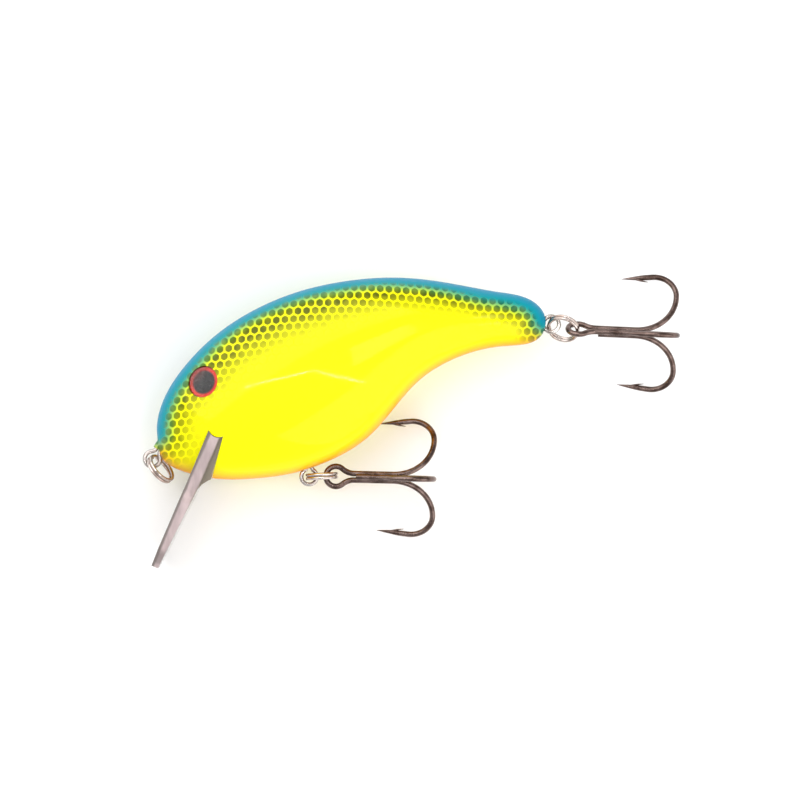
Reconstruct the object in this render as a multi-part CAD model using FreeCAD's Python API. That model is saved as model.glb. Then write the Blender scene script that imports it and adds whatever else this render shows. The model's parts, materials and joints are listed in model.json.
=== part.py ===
import FreeCAD, Part
import math
import os
from FreeCAD import Placement, Rotation, Vector

# Squarebill crankbait lying on its right flank, millimetres.
# Origin: centre of the line-tie eye on the nose, on the body's mid-plane.
# +X runs from nose to tail, +Y from belly to back, +Z out of the left flank.

# ---- body -------------------------------------------------------------------
BODY_LENGTH = 64.85          # nose to tail tip
BODY_DEPTH = 33.55           # belly to back
BODY_THICKNESS = 17.6        # flank to flank
NOSE_X = 0.75                # foremost point of the head
NOSE_Y = 4.5
NOSE_DEPTH_SHARE = 0.234     # height of that point in the body's depth
SECTION_FULLNESS = 0.10      # 0 is an ellipse, more is squarer
SHELL_WALL = 1.3
SKIN_STATIONS = 40           # curves that carry the skin, along and around it
SKIN_TURNS = 16

# Sections from nose to tail, as shares of length, depth and half thickness:
# (back x, back y), (belly x, belly y), thickness
SECTIONS = [
    ((0.008, 0.347), (0.009, 0.119), 0.25),
    ((0.031, 0.449), (0.035, 0.066), 0.46),
    ((0.085, 0.592), (0.086, 0.027), 0.68),
    ((0.162, 0.732), (0.158, 0.001), 0.85),
    ((0.264, 0.854), (0.251, 0.003), 0.96),
    ((0.368, 0.934), (0.351, 0.030), 1.00),
    ((0.470, 0.979), (0.451, 0.098), 0.97),
    ((0.574, 1.000), (0.540, 0.204), 0.89),
    ((0.676, 0.994), (0.610, 0.353), 0.78),
    ((0.779, 0.964), (0.687, 0.511), 0.65),
    ((0.870, 0.932), (0.795, 0.621), 0.52),
    ((0.943, 0.905), (0.895, 0.661), 0.42),
    ((0.981, 0.860), (0.965, 0.680), 0.30),
]
TAIL_DEPTH_SHARE = 0.770

# ---- wire eyes moulded into the body ----------------------------------------
EYE_WIRE = 0.7               # wire diameter
EYE_HOLE = 1.9               # inside a loop, wide enough for a ring's two turns
EYE_NECK_BEND = 1.0          # centreline radius where the loop turns into its legs
WIRE_CLEARANCE = 0.08
LINE_TIE_ANGLE = 57.0        # direction of the legs, from +X towards +Y
LINE_TIE_REACH = 7.2         # between the centres of the two loops
BELLY_EYE_SHARE = 0.391      # place along the body
BELLY_EYE_DROP = 1.35        # loop centre below the belly
BELLY_EYE_REACH = 7.4
TAIL_EYE_STANDOFF = 0.85     # loop centre behind the tail tip
TAIL_EYE_ANGLE = 175.0
TAIL_EYE_REACH = 7.0
BOSS_MARGIN = 0.4            # boss beyond the anchored loop
LOOP_RECESS = 0.3            # free space around a loop sunk in the skin
NOSE_BOSS_RADIUS = 1.0
NOSE_BOSS_START = 1.85       # from the line-tie eye's centre
NOSE_BOSS_LENGTH = 1.6

# ---- split rings ------------------------------------------------------------
RING_OUTER = 5.5
RING_WIRE = 0.55
RING_GAP = 0.02              # between the two turns
RING_TURNS = 1.92
RING_CROSSING = 140.0        # where the wire crosses over, from where the ring points
CROSSING_STEPS = 8
RING_PLAY = 0.325            # between a ring's wire and the hole of its eye
NOSE_RING_ANGLE = -50.0      # where each ring points, from +X towards +Y
BELLY_RING_ANGLE = 3.0
TAIL_RING_ANGLE = -20.0
NOSE_RING_TILT = 23.6        # how far each ring's axis leans towards +Z
TAIL_RING_TILT = -45.0

# ---- treble hooks -----------------------------------------------------------
HOOK_WIRE = 0.95
HOOK_EYE_OUTER = 4.3
HOOK_EYE_BEND = 3.0          # centreline radius from eye to shank
SHANK_GAP = 0.14             # between the two shank wires
BRAZE_GAP = 0.01
SHANK_END = 11.7             # from the eye's outer end to where the bends start
SHANK_BEND = 6.7             # centreline radius, shank to bottom of the bend
POINT_BEND = 3.6             # centreline radius, bottom of the bend to point leg
POINT_LEAN = 7.0             # degrees that the point leg leans in
POINT_LEG = 1.1              # straight wire before the taper
POINT_TAPER = 4.2
POINT_TIP = 0.05             # tip radius
BARB_LENGTH = 1.9            # barb's root from the start of the taper
BARB_BACK = 0.35             # barb's tip behind the start of the taper
BARB_FOOT = 0.3
BARB_RISE = 0.5
BARB_WIDTH = 0.3
SINGLE_START = 5.5           # brazed wire's end, from the eye's outer end
BELLY_HOOK_LAP = 0.2         # eye's outer end past its ring's centre
TAIL_HOOK_LAP = 0.35
BELLY_HOOK_HANG = 40.0       # degrees the belly's hook hangs below the belly's slope
TAIL_HOOK_SLOPE = -2.5
TAIL_HOOK_ROLL = 121.0

# ---- diving lip -------------------------------------------------------------
LIP_LENGTH = 24.4
LIP_LEAN = 23.2              # from the vertical, tip forward
LIP_WIDTH = 17.6
LIP_ROOT_WIDTH = 14.8
LIP_ROOT_SHARE = 0.1365      # front top corner, along the body
LIP_SEAT = 7.9               # that corner's height over the belly
LIP_TIP_THICKNESS = 1.2
LIP_THICKNESS = 2.1          # where the blade leaves the chin
LIP_GUSSET = 3.4             # blade and gusset at the chin
LIP_TOP_THICKNESS = 2.45
LIP_NOTCH = 0.6              # depth of the hollow in the root's end
LIP_CHIN = 7.4               # root's end to the chin
LIP_GUSSET_END = 9.6
LIP_GUSSET_INSET = 0.7       # gusset's side face inside the blade's edge
LIP_CORNER = 3.3             # cut corners of the square bill
LIP_CORNER_ROUND = 1.4
GUSSET_SAG = 0.25            # hollow between gusset and blade
LIP_SHOULDER = 12.5
LIP_CLEARANCE = 0.08
SLOT_WALL = 1.1

# ---- eyes -------------------------------------------------------------------
IRIS_DIAMETER = 5.3
EYE_SHARE = (0.119, 0.730)   # along the body, up from belly to back
EYE_POCKET = 0.85
DISC_THICKNESS = 0.2
DOME_HEIGHT = 1.05
IRIS_CLEARANCE = 0.05
POCKET_BACKING = 1.0
POCKET_WALL = 0.8
DOME_RIM_SHARE = 0.25        # upright rim's share of the dome's height

# ---- weights and rattles ----------------------------------------------------
CUP_WALL = 0.9
WEIGHT_CLEARANCE = 0.06
BELLY_BALLAST = ((0.300, 0.215), 2.9, 3.6)    # (place), radius, half length
NOSE_BALLAST = ((0.219, 0.155), 1.8, 2.6)
BALLAST_ROUND = 0.4
BALL_CLEARANCE = 0.3
FRONT_BALL = ((0.425, 0.640), 2.4)            # (place), radius
MIDDLE_BALL = ((0.545, 0.610), 2.4)
REAR_BALL = ((0.662, 0.560), 2.0)
CELL_FLOOR = 0.6             # plastic left between a cell and the shell's inside
PEG_PLACES = [(0.270, 0.730), (0.560, 0.240), (0.790, 0.480)]
PEG_RADIUS = 0.9
PEG_HEIGHT = 1.6
PEG_CLEARANCE = 0.05
PEG_WALL = 0.8

NOSE = Vector(NOSE_X, NOSE_Y, 0)
HALF = BODY_THICKNESS / 2
EYE_OUTER = EYE_HOLE + 2 * EYE_WIRE
EYE_RADIUS = (EYE_OUTER - EYE_WIRE) / 2
RING_RADIUS = (RING_OUTER - RING_WIRE) / 2
RING_REACH = RING_RADIUS - (EYE_HOLE / 2 - RING_WIRE / 2 - RING_PLAY)
HOOK_EYE_RADIUS = (HOOK_EYE_OUTER - HOOK_WIRE) / 2
SHANK_OFFSET = (HOOK_WIRE + SHANK_GAP) / 2
WIRE_HALF = EYE_WIRE / 2 + WIRE_CLEARANCE
LOOP_POST = EYE_HOLE / 2 - WIRE_CLEARANCE
POCKET_RADIUS = IRIS_DIAMETER / 2 + IRIS_CLEARANCE
Z = Vector(0, 0, 1)


def polar(angle, distance=1.0):
    """Vector in the mid-plane at an angle from +X towards +Y."""
    a = math.radians(angle)
    return Vector(math.cos(a), math.sin(a), 0) * distance


# ---- body surface -----------------------------------------------------------
def outline_point(share, thickness=0.0):
    """Shares of length, depth and half thickness as a point."""
    rise = (share[1] - NOSE_DEPTH_SHARE) * BODY_DEPTH
    return NOSE + Vector(share[0] * BODY_LENGTH, rise, thickness * HALF)


def silhouette():
    """Closed line over the back (0 to 1) and home under the belly (1 to 2).
    Its z is the half thickness, positive over the back and negative below."""
    tail = outline_point((1.0, TAIL_DEPTH_SHARE))
    back = [NOSE] + [outline_point(s[0], s[2]) for s in SECTIONS] + [tail]
    belly = [NOSE] + [outline_point(s[1], -s[2]) for s in SECTIONS] + [tail]
    travel = [0.0]
    for i in range(1, len(back)):
        over = (back[i] - back[i - 1]).Length
        under = (belly[i] - belly[i - 1]).Length
        travel.append(travel[-1] + (over + under) / 2)
    places = [t / travel[-1] for t in travel]
    points = back + belly[-2:0:-1]
    parameters = places + [2 - t for t in places[-2:0:-1]] + [2.0]
    line = Part.BSplineCurve()
    line.interpolate(Points=points, Parameters=parameters, PeriodicFlag=True)
    return line


SILHOUETTE = silhouette()


def skin_point(t, turn):
    """Point of the left flank: t from nose to tail, turn from back (0) to belly (pi)."""
    back = SILHOUETTE.value(t)
    belly = SILHOUETTE.value((2 - t) % 2.0)
    thickness = (back.z - belly.z) / 2
    back.z = 0
    belly.z = 0
    half_span = (back - belly) / 2
    c, s = math.cos(turn), math.sin(turn)
    up = half_span * c * (1 + SECTION_FULLNESS * s * s)
    out = Z * thickness * s * (1 + SECTION_FULLNESS * c * c)
    return (back + belly) / 2 + up + out


def skin_normal(t, turn):
    """Outward normal of the left flank."""
    if t < 1e-6 or t > 1 - 1e-6:
        along = SILHOUETTE.tangent(t)[0]
        return Vector(-along.y, along.x, 0).normalize()
    step = 1e-4
    along = skin_point(t + step, turn) - skin_point(t - step, turn)
    around = skin_point(t, turn + step) - skin_point(t, turn - step)
    return along.cross(around).normalize() * -1


def flank_face(inset):
    """Left flank's surface, moved inwards by inset."""
    grid = []
    for i in range(SKIN_STATIONS + 1):
        t = (1 - math.cos(math.pi * i / SKIN_STATIONS)) / 2
        row = []
        for j in range(SKIN_TURNS + 1):
            turn = math.pi * j / SKIN_TURNS
            point = skin_point(t, turn) - skin_normal(t, turn) * inset
            if j in (0, SKIN_TURNS):
                point.z = 0
            row.append(point)
        grid.append(row)
    surface = Part.BSplineSurface()
    surface.interpolate(grid)
    return Part.Face(surface)


def boundary(face):
    """The face's outline in the mid-plane."""
    edges = [e for e in face.Edges if e.Length > 1 and abs(e.BoundBox.ZMax) < 1e-4]
    return Part.Wire(Part.sortEdges(edges)[0])


def sewn_solid(faces):
    """Solid from faces that close a space."""
    shell = Part.makeShell(faces)
    shell.sewShape()
    solid = Part.makeSolid(shell)
    if solid.Volume < 0:
        solid.reverse()
    return solid


def half_body(inset):
    """Solid left half, moved inwards by inset, cut flat at the mid-plane."""
    flank = flank_face(inset)
    return sewn_solid([flank, Part.Face(boundary(flank))])


def crossing(x, low, high):
    """Parameter between low and high where the silhouette reaches x."""
    rising = SILHOUETTE.value(high).x > SILHOUETTE.value(low).x
    for _ in range(40):
        middle = (low + high) / 2
        if (SILHOUETTE.value(middle).x < x) == rising:
            low = middle
        else:
            high = middle
    return (low + high) / 2


def belly_point(share):
    """Belly line at a share of the length."""
    x = NOSE_X + share * BODY_LENGTH
    point = SILHOUETTE.value(crossing(x, 1.03, 1.97))
    return Vector(point.x, point.y, 0)


def back_point(share):
    """Back line at a share of the length."""
    x = NOSE_X + share * BODY_LENGTH
    point = SILHOUETTE.value(crossing(x, 0.03, 0.97))
    return Vector(point.x, point.y, 0)


def inside(place):
    """Mid-plane point at shares of the length and of the depth there."""
    low, high = belly_point(place[0]), back_point(place[0])
    return low + (high - low) * place[1]


def flank_height(point):
    """Half thickness of the outer skin over a mid-plane point."""
    line = Part.makeLine(point - Z, point + Z * BODY_THICKNESS)
    hits = BODY_SKIN.distToShape(line)[1]
    return max(pair[0].z for pair in hits)


# ---- wire shapes ------------------------------------------------------------
def swept_wire(edges, diameter):
    """Round wire along edges that follow one another."""
    path = Part.Wire(edges)
    start = path.OrderedVertexes[0].Point
    first = path.OrderedEdges[0]
    along = first.tangentAt(first.FirstParameter)
    section = Part.Wire([Part.makeCircle(diameter / 2, start, along)])
    solid = path.makePipeShell([section], True, False)
    return solid if solid.ShapeType == "Solid" else Part.makeSolid(solid)


def arc(centre, radius, start, end, x_axis, y_axis):
    """Arc in the plane of two axes, angles in degrees, drawn from start to end."""
    def at(angle):
        a = math.radians(angle)
        return centre + (x_axis * math.cos(a) + y_axis * math.sin(a)) * radius
    return Part.Arc(at(start), at((start + end) / 2), at(end)).toShape()


def eye_path(centre, along, across, radius, bend, leg_offset, leg_end):
    """One side's line, loop and the other side's line of a wire eye with two legs.
    The legs run towards +along from the loop's centre, leg_offset from its axis."""
    rise = math.sqrt((radius + bend) ** 2 - (leg_offset + bend) ** 2)
    swing = math.degrees(math.atan2(leg_offset + bend, rise))
    right = centre + along * rise + across * (leg_offset + bend)
    left = centre + along * rise - across * (leg_offset + bend)
    edges = []
    if leg_end > rise + 1e-6:
        start = centre + along * leg_end + across * leg_offset
        edges.append(Part.makeLine(start, centre + along * rise + across * leg_offset))
    edges.append(arc(right, bend, 180, 270 - swing, across, along))
    edges.append(arc(centre, radius, 90 - swing, -270 + swing, across, along))
    edges.append(arc(left, bend, -90 + swing, 0, across, along))
    if leg_end > rise + 1e-6:
        end = centre + along * leg_end - across * leg_offset
        edges.append(Part.makeLine(centre + along * rise - across * leg_offset, end))
    return edges


def anchored_eye(centre, angle, reach):
    """Closed wire with an eye outside the body and a like loop anchored inside."""
    along = polar(angle)
    across = polar(angle - 90)
    leg = EYE_WIRE / 2 + WIRE_CLEARANCE / 2
    outer = eye_path(centre, along, across, EYE_RADIUS, EYE_NECK_BEND, leg, reach / 2)
    anchor = centre + along * reach
    inner = eye_path(anchor, along * -1, across * -1, EYE_RADIUS, EYE_NECK_BEND, leg, reach / 2)
    return swept_wire(outer + inner, EYE_WIRE)


def ring_axis(angle, tilt):
    """Axis of a ring that points along an angle, leaning towards +Z."""
    return Rotation(polar(angle), tilt).multVec(polar(angle + 90))


def split_ring(centre, angle, tilt):
    """Two flat turns of wire, with one crossing from the lower to the upper."""
    out, axis = polar(angle), ring_axis(angle, tilt)
    side = axis.cross(out)
    lift = axis * ((RING_WIRE + RING_GAP) / 2)
    lap = 360 * (RING_TURNS - 1)
    first = RING_CROSSING - (360 - lap) / 2
    last = RING_CROSSING + (360 - lap) / 2

    def at(turn, rise):
        a = math.radians(turn)
        return centre + (out * math.cos(a) + side * math.sin(a)) * RING_RADIUS + lift * rise

    def ahead(turn):
        a = math.radians(turn)
        return side * math.cos(a) - out * math.sin(a)

    climb = []
    for i in range(CROSSING_STEPS + 1):
        share = i / CROSSING_STEPS
        rise = 2 * share * share * (3 - 2 * share) - 1
        climb.append(at(first + (last - first) * share, rise))
    crossing = Part.BSplineCurve()
    crossing.interpolate(Points=climb, InitialTangent=ahead(first), FinalTangent=ahead(last))
    edges = [
        arc(centre - lift, RING_RADIUS, first - lap, first, out, side),
        crossing.toShape(),
        arc(centre + lift, RING_RADIUS, last, last + lap, out, side),
    ]
    return swept_wire(edges, RING_WIRE)


# ---- hooks ------------------------------------------------------------------
def prong_path(start, along, out):
    """Edges from the shank's end round the bend to where the taper starts."""
    first = start + out * SHANK_BEND
    bottom = start + out * SHANK_BEND + along * SHANK_BEND
    second = bottom - along * POINT_BEND
    edges = [arc(first, SHANK_BEND, -90, 0, along, out)]
    edges.append(arc(second, POINT_BEND, 0, 90 + POINT_LEAN, along, out))
    lean = math.radians(POINT_LEAN)
    leg_start = second + (along * -math.sin(lean) + out * math.cos(lean)) * POINT_BEND
    heading = (along * -math.cos(lean) - out * math.sin(lean))
    leg_end = leg_start + heading * POINT_LEG
    edges.append(Part.makeLine(leg_start, leg_end))
    return edges, leg_end, heading


def hook_point(base, heading, out):
    """Tapered point with its barb on the inner side."""
    taper = Part.makeCone(HOOK_WIRE / 2, POINT_TIP, POINT_TAPER, base, heading)
    inner = (heading * heading.dot(out) - out).normalize()
    side = heading.cross(inner)
    corners = [
        base + heading * BARB_LENGTH,
        base - heading * BARB_BACK + inner * (HOOK_WIRE / 2 + BARB_RISE),
        base,
        base + heading * BARB_FOOT,
    ]
    corners = [c - side * BARB_WIDTH / 2 for c in corners]
    blade = Part.Face(Part.makePolygon(corners + corners[:1])).extrude(side * BARB_WIDTH)
    return taper.fuse(blade)


def reversed_edges(edges):
    """The same edges, run the other way."""
    turned = []
    for edge in reversed(edges):
        a = edge.valueAt(edge.LastParameter)
        b = edge.valueAt(edge.FirstParameter)
        middle = edge.valueAt((edge.FirstParameter + edge.LastParameter) / 2)
        if isinstance(edge.Curve, Part.Line):
            turned.append(Part.makeLine(a, b))
        else:
            turned.append(Part.Arc(a, middle, b).toShape())
    return turned


def double_hook():
    """Eye and two prongs of one wire. The eye's outer end is at the origin,
    the shank along +X, the eye in the XY plane."""
    along, across = Vector(1, 0, 0), Vector(0, 1, 0)
    centre = along * (HOOK_WIRE / 2 + HOOK_EYE_RADIUS)
    edges = eye_path(centre, along, across, HOOK_EYE_RADIUS, HOOK_EYE_BEND,
                     SHANK_OFFSET, SHANK_END - centre.x)
    points = []
    for side in (1, -1):
        out = Vector(0, side * math.cos(math.radians(30)), -0.5)
        start = along * SHANK_END + across * side * SHANK_OFFSET
        prong, base, heading = prong_path(start, along, out)
        points.append(hook_point(base, heading, out))
        if side == 1:
            edges = reversed_edges(prong) + edges
        else:
            edges = edges + prong
    return swept_wire(edges, HOOK_WIRE).fuse(points).removeSplitter()


def single_hook():
    """Third prong, its shank brazed over the gap between the double hook's wires."""
    along, out = Vector(1, 0, 0), Z
    lift = math.sqrt((HOOK_WIRE + BRAZE_GAP) ** 2 - SHANK_OFFSET ** 2)
    start = along * SHANK_END + out * lift
    prong, base, heading = prong_path(start, along, out)
    shank = Part.makeLine(along * SINGLE_START + out * lift, start)
    wire = swept_wire([shank] + prong, HOOK_WIRE)
    return wire.fuse(hook_point(base, heading, out)).removeSplitter()


# ---- lip --------------------------------------------------------------------
def lip_frame():
    """Root corner, direction down the blade and direction through it."""
    root = belly_point(LIP_ROOT_SHARE) + Vector(0, LIP_SEAT, 0)
    return root, polar(-90 - LIP_LEAN), polar(-LIP_LEAN)


def lip_profile(grow, end):
    """Side view of the lip with its gusset, grown all round, from its root to end."""
    root, down, through = lip_frame()

    def at(along, depth):
        return root + down * along + through * depth

    rear_slope = (LIP_THICKNESS - LIP_TIP_THICKNESS) / (LIP_LENGTH - LIP_GUSSET_END)
    front_top = at(-grow, -grow)
    rear_top = at(-grow, LIP_TOP_THICKNESS + grow)
    hollow = at(LIP_NOTCH - 1.5 * grow, LIP_TOP_THICKNESS / 2)
    chin = at(LIP_CHIN, LIP_GUSSET + grow)
    foot = at(LIP_GUSSET_END, LIP_THICKNESS + grow)
    sag = (chin + foot) / 2 - through * GUSSET_SAG
    rear_end = at(end, LIP_THICKNESS - rear_slope * (end - LIP_GUSSET_END) + grow)
    front_end = at(end, -grow)
    edges = [
        Part.Arc(front_top, hollow, rear_top).toShape(),
        Part.makeLine(rear_top, chin),
        Part.Arc(chin, sag, foot).toShape(),
        Part.makeLine(foot, rear_end),
        Part.makeLine(rear_end, front_end),
        Part.makeLine(front_end, front_top),
    ]
    return Part.Face(Part.Wire(edges))


def across_body(face, half_width):
    """Face of the mid-plane as a solid from one side of the body to the other."""
    face.translate(Z * -half_width)
    return face.extrude(Z * 2 * half_width)


def lip_plan(inset, depth):
    """Outline of the lip seen square to the blade, as a prism of a depth behind its front."""
    root, down, through = lip_frame()
    wide = LIP_WIDTH / 2 - inset
    narrow = LIP_ROOT_WIDTH / 2 - inset
    half_outline = [
        (-LIP_NOTCH, narrow),
        (LIP_GUSSET_END, narrow),
        (LIP_SHOULDER, wide),
        (LIP_LENGTH - LIP_CORNER, wide),
        (LIP_LENGTH, wide - LIP_CORNER),
    ]
    corners = [root + down * a + Z * w for a, w in half_outline]
    corners += [root + down * a - Z * w for a, w in reversed(half_outline)]
    plan = Part.Face(Part.makePolygon(corners + corners[:1])).extrude(through * depth)
    turns = [e for e in plan.Edges if abs(e.tangentAt(e.FirstParameter).dot(through)) > 0.99]
    below = root + down * LIP_GUSSET_END / 2
    turns = [e for e in turns if (e.valueAt(e.FirstParameter) - below).dot(down) > 0]
    return plan.makeFillet(LIP_CORNER_ROUND, turns)


def diving_lip():
    """Clear square bill with a gusset behind its root."""
    whole = across_body(lip_profile(0, LIP_LENGTH), LIP_WIDTH)
    blade = whole.common(lip_plan(0, LIP_THICKNESS))
    gusset = whole.common(lip_plan(LIP_GUSSET_INSET, LIP_GUSSET))
    return blade.fuse(gusset).removeSplitter()


# ---- eyes -------------------------------------------------------------------
def eye_frame():
    """Point of the left skin at the fish's eye and the outward normal there."""
    target = inside(EYE_SHARE)
    low, high = 0.0, 0.5
    for _ in range(30):
        middle = (low + high) / 2
        turn = eye_turn(middle, target)
        if skin_point(middle, turn).x < target.x:
            low = middle
        else:
            high = middle
    turn = eye_turn(middle, target)
    return skin_point(middle, turn), skin_normal(middle, turn)


def eye_turn(t, target):
    """Turn at which the section through t reaches the target's height."""
    low, high = 0.0, math.pi
    for _ in range(30):
        middle = (low + high) / 2
        if skin_point(t, middle).y > target.y:
            low = middle
        else:
            high = middle
    return (low + high) / 2


def eye_disc():
    """Printed disc at the bottom of the eye pocket."""
    point, normal = eye_frame()
    floor = point - normal * EYE_POCKET
    return Part.makeCylinder(IRIS_DIAMETER / 2, DISC_THICKNESS, floor, normal)


def eye_dome():
    """Clear cap over the disc: a slice of a sphere on a short rim."""
    point, normal = eye_frame()
    base = point - normal * (EYE_POCKET - DISC_THICKNESS)
    radius = IRIS_DIAMETER / 2
    rim = DOME_HEIGHT * DOME_RIM_SHARE
    cap = DOME_HEIGHT - rim
    sphere_radius = (radius ** 2 + cap ** 2) / (2 * cap)
    centre = base + normal * (DOME_HEIGHT - sphere_radius)
    ball = Part.makeSphere(sphere_radius, centre, normal, -90, 90, 360)
    return Part.makeCylinder(radius, DOME_HEIGHT, base, normal).common(ball)


# ---- shells -----------------------------------------------------------------
def post(place, radius, low, high):
    """Upright cylinder over a mid-plane point."""
    return Part.makeCylinder(radius, high - low, Vector(place.x, place.y, low))


def slab(centre, angle, start, end, half_width, height):
    """Bar along a mid-plane direction, from the mid-plane up to height."""
    bar = Part.makeBox(end - start, 2 * half_width, height, Vector(start, -half_width, 0))
    bar.Placement = Placement(centre, Rotation(Z, angle))
    return bar


def weight_cups():
    """Place, bore radius and floor height of each weight's and rattle's cup."""
    cups = []
    for place, radius, half_length in (BELLY_BALLAST, NOSE_BALLAST):
        cups.append((inside(place), radius + WEIGHT_CLEARANCE, half_length + WEIGHT_CLEARANCE))
    for place, radius in (FRONT_BALL, MIDDLE_BALL, REAR_BALL):
        centre = inside(place)
        cups.append((centre, radius + BALL_CLEARANCE, cell_floor(centre)))
    return cups


def cell_floor(centre):
    """Height of a rattle cell's end over the mid-plane."""
    return flank_height(centre) - SHELL_WALL - CELL_FLOOR


def wire_anchors():
    """Eye centre, leg direction and reach of the three anchored wires."""
    return [
        (Vector(0, 0, 0), LINE_TIE_ANGLE, LINE_TIE_REACH),
        (belly_eye(), 90.0, BELLY_EYE_REACH),
        (tail_eye(), TAIL_EYE_ANGLE, TAIL_EYE_REACH),
    ]


def belly_eye():
    """Centre of the belly's wire eye."""
    return belly_point(BELLY_EYE_SHARE) - Vector(0, BELLY_EYE_DROP, 0)


def tail_eye():
    """Centre of the tail's wire eye."""
    return outline_point((1.0, TAIL_DEPTH_SHARE)) + Vector(TAIL_EYE_STANDOFF, 0, 0)


def inner_bosses():
    """Everything that stands on the inside of a shell: the lip's slot walls, posts that
    hold the wires' inner loops, weight cups, peg bosses and the eye pocket's back."""
    tall = BODY_THICKNESS
    bosses = [across_body(lip_profile(SLOT_WALL, LIP_SHOULDER), tall)]
    for centre, angle, reach in wire_anchors():
        anchor = centre + polar(angle, reach)
        bosses.append(post(anchor, EYE_OUTER / 2 + BOSS_MARGIN, WIRE_HALF, tall))
        bosses.append(post(anchor, LOOP_POST, 0, tall))
    for centre, radius, _ in weight_cups():
        bosses.append(post(centre, radius + CUP_WALL, 0, tall))
    for place in PEG_PLACES:
        bosses.append(post(inside(place), PEG_RADIUS + PEG_WALL, 0, tall))
    point, normal = eye_frame()
    depth = EYE_POCKET + POCKET_BACKING
    radius = POCKET_RADIUS + POCKET_WALL
    bosses.append(Part.makeCylinder(radius, depth, point - normal * depth, normal))
    return bosses


def wire_slot(centre, angle, reach):
    """Room for a wire's two legs on one side of the mid-plane."""
    return slab(centre, angle, 0, reach, EYE_WIRE + 1.5 * WIRE_CLEARANCE, WIRE_HALF)


def openings(has_pegs):
    """What is cut from a shell: lip slot, wire slots, cup bores, eye pocket, sockets."""
    cuts = [across_body(lip_profile(LIP_CLEARANCE, LIP_LENGTH), BODY_THICKNESS)]
    for centre, angle, reach in wire_anchors():
        cuts.append(wire_slot(centre, angle, reach - EYE_OUTER / 2))
        cuts.append(post(centre, EYE_OUTER / 2 + LOOP_RECESS, 0, EYE_WIRE / 2 + LOOP_RECESS))
    for centre, radius, floor in weight_cups():
        cuts.append(post(centre, radius, 0, floor))
    point, normal = eye_frame()
    floor = point - normal * EYE_POCKET
    cuts.append(Part.makeCylinder(POCKET_RADIUS, 2 * BODY_THICKNESS, floor, normal))
    if not has_pegs:
        for place in PEG_PLACES:
            depth = PEG_HEIGHT + PEG_CLEARANCE
            cuts.append(post(inside(place), PEG_RADIUS + PEG_CLEARANCE, 0, depth))
    return cuts


def shell_half(has_pegs):
    """Left half of the body. The right half is its mirror image with sockets."""
    shell = half_body(0).cut(half_body(SHELL_WALL))
    bosses = inner_bosses()
    ribs = bosses[0].fuse(bosses[1:]).common(half_body(SHELL_WALL / 2))
    shell = shell.fuse(ribs).cut(openings(has_pegs))
    posts = [nose_boss()]
    for centre, angle, reach in wire_anchors():
        posts.append(post(centre + polar(angle, reach), LOOP_POST, 0, SHELL_WALL))
    if has_pegs:
        for place in PEG_PLACES:
            posts.append(post(inside(place), PEG_RADIUS, -PEG_HEIGHT, SHELL_WALL))
    return shell.fuse(posts).removeSplitter()


def nose_boss():
    """Half of the small collar that the line tie's legs come out of."""
    centre = polar(LINE_TIE_ANGLE, NOSE_BOSS_START)
    along = polar(LINE_TIE_ANGLE)
    collar = Part.makeCylinder(NOSE_BOSS_RADIUS, NOSE_BOSS_LENGTH, centre, along)
    end = NOSE_BOSS_START + NOSE_BOSS_LENGTH
    upper = slab(Vector(0, 0, 0), LINE_TIE_ANGLE, 0, end, NOSE_BOSS_RADIUS, NOSE_BOSS_RADIUS)
    return collar.common(upper).cut(wire_slot(Vector(0, 0, 0), LINE_TIE_ANGLE, end))


def mirrored(shape):
    """Right-hand twin of a left-hand shape."""
    return shape.mirror(Vector(0, 0, 0), Z)


# ---- assembly ---------------------------------------------------------------
def ring_centre(eye, angle):
    """Centre of a split ring that hangs in an eye and points along an angle."""
    return eye + polar(angle, RING_REACH)


def belly_hook_slope():
    """Slope of the belly's hook, which follows the belly over the hook's length."""
    start = belly_point(BELLY_EYE_SHARE)
    end = belly_point(BELLY_EYE_SHARE + (SHANK_END + SHANK_BEND) / BODY_LENGTH)
    rise = math.degrees(math.atan2(end.y - start.y, end.x - start.x))
    return rise - BELLY_HOOK_HANG


def placed_hook(hook, ring, lap, slope, roll):
    """Hook with its eye in a ring, sloped in the mid-plane and rolled on its shank."""
    turn = Rotation(Z, slope) * Rotation(Vector(1, 0, 0), roll)
    hook = hook.copy()
    hook.Placement = Placement(ring + polar(slope, lap), turn)
    return hook


def loose_ball(place, radius):
    """Rattle ball at the bottom of its cell as the lure lies."""
    centre = inside(place)
    floor = cell_floor(centre) - WEIGHT_CLEARANCE
    return Part.makeSphere(radius, centre - Z * (floor - radius))


def ballast(place, radius, half_length):
    """Cylindrical weight across the body with rounded ends."""
    slug = post(inside(place), radius, -half_length, half_length)
    ends = [e for e in slug.Edges if isinstance(e.Curve, Part.Circle)]
    return slug.makeFillet(BALLAST_ROUND, ends)


BODY_SKIN = flank_face(0)


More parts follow.
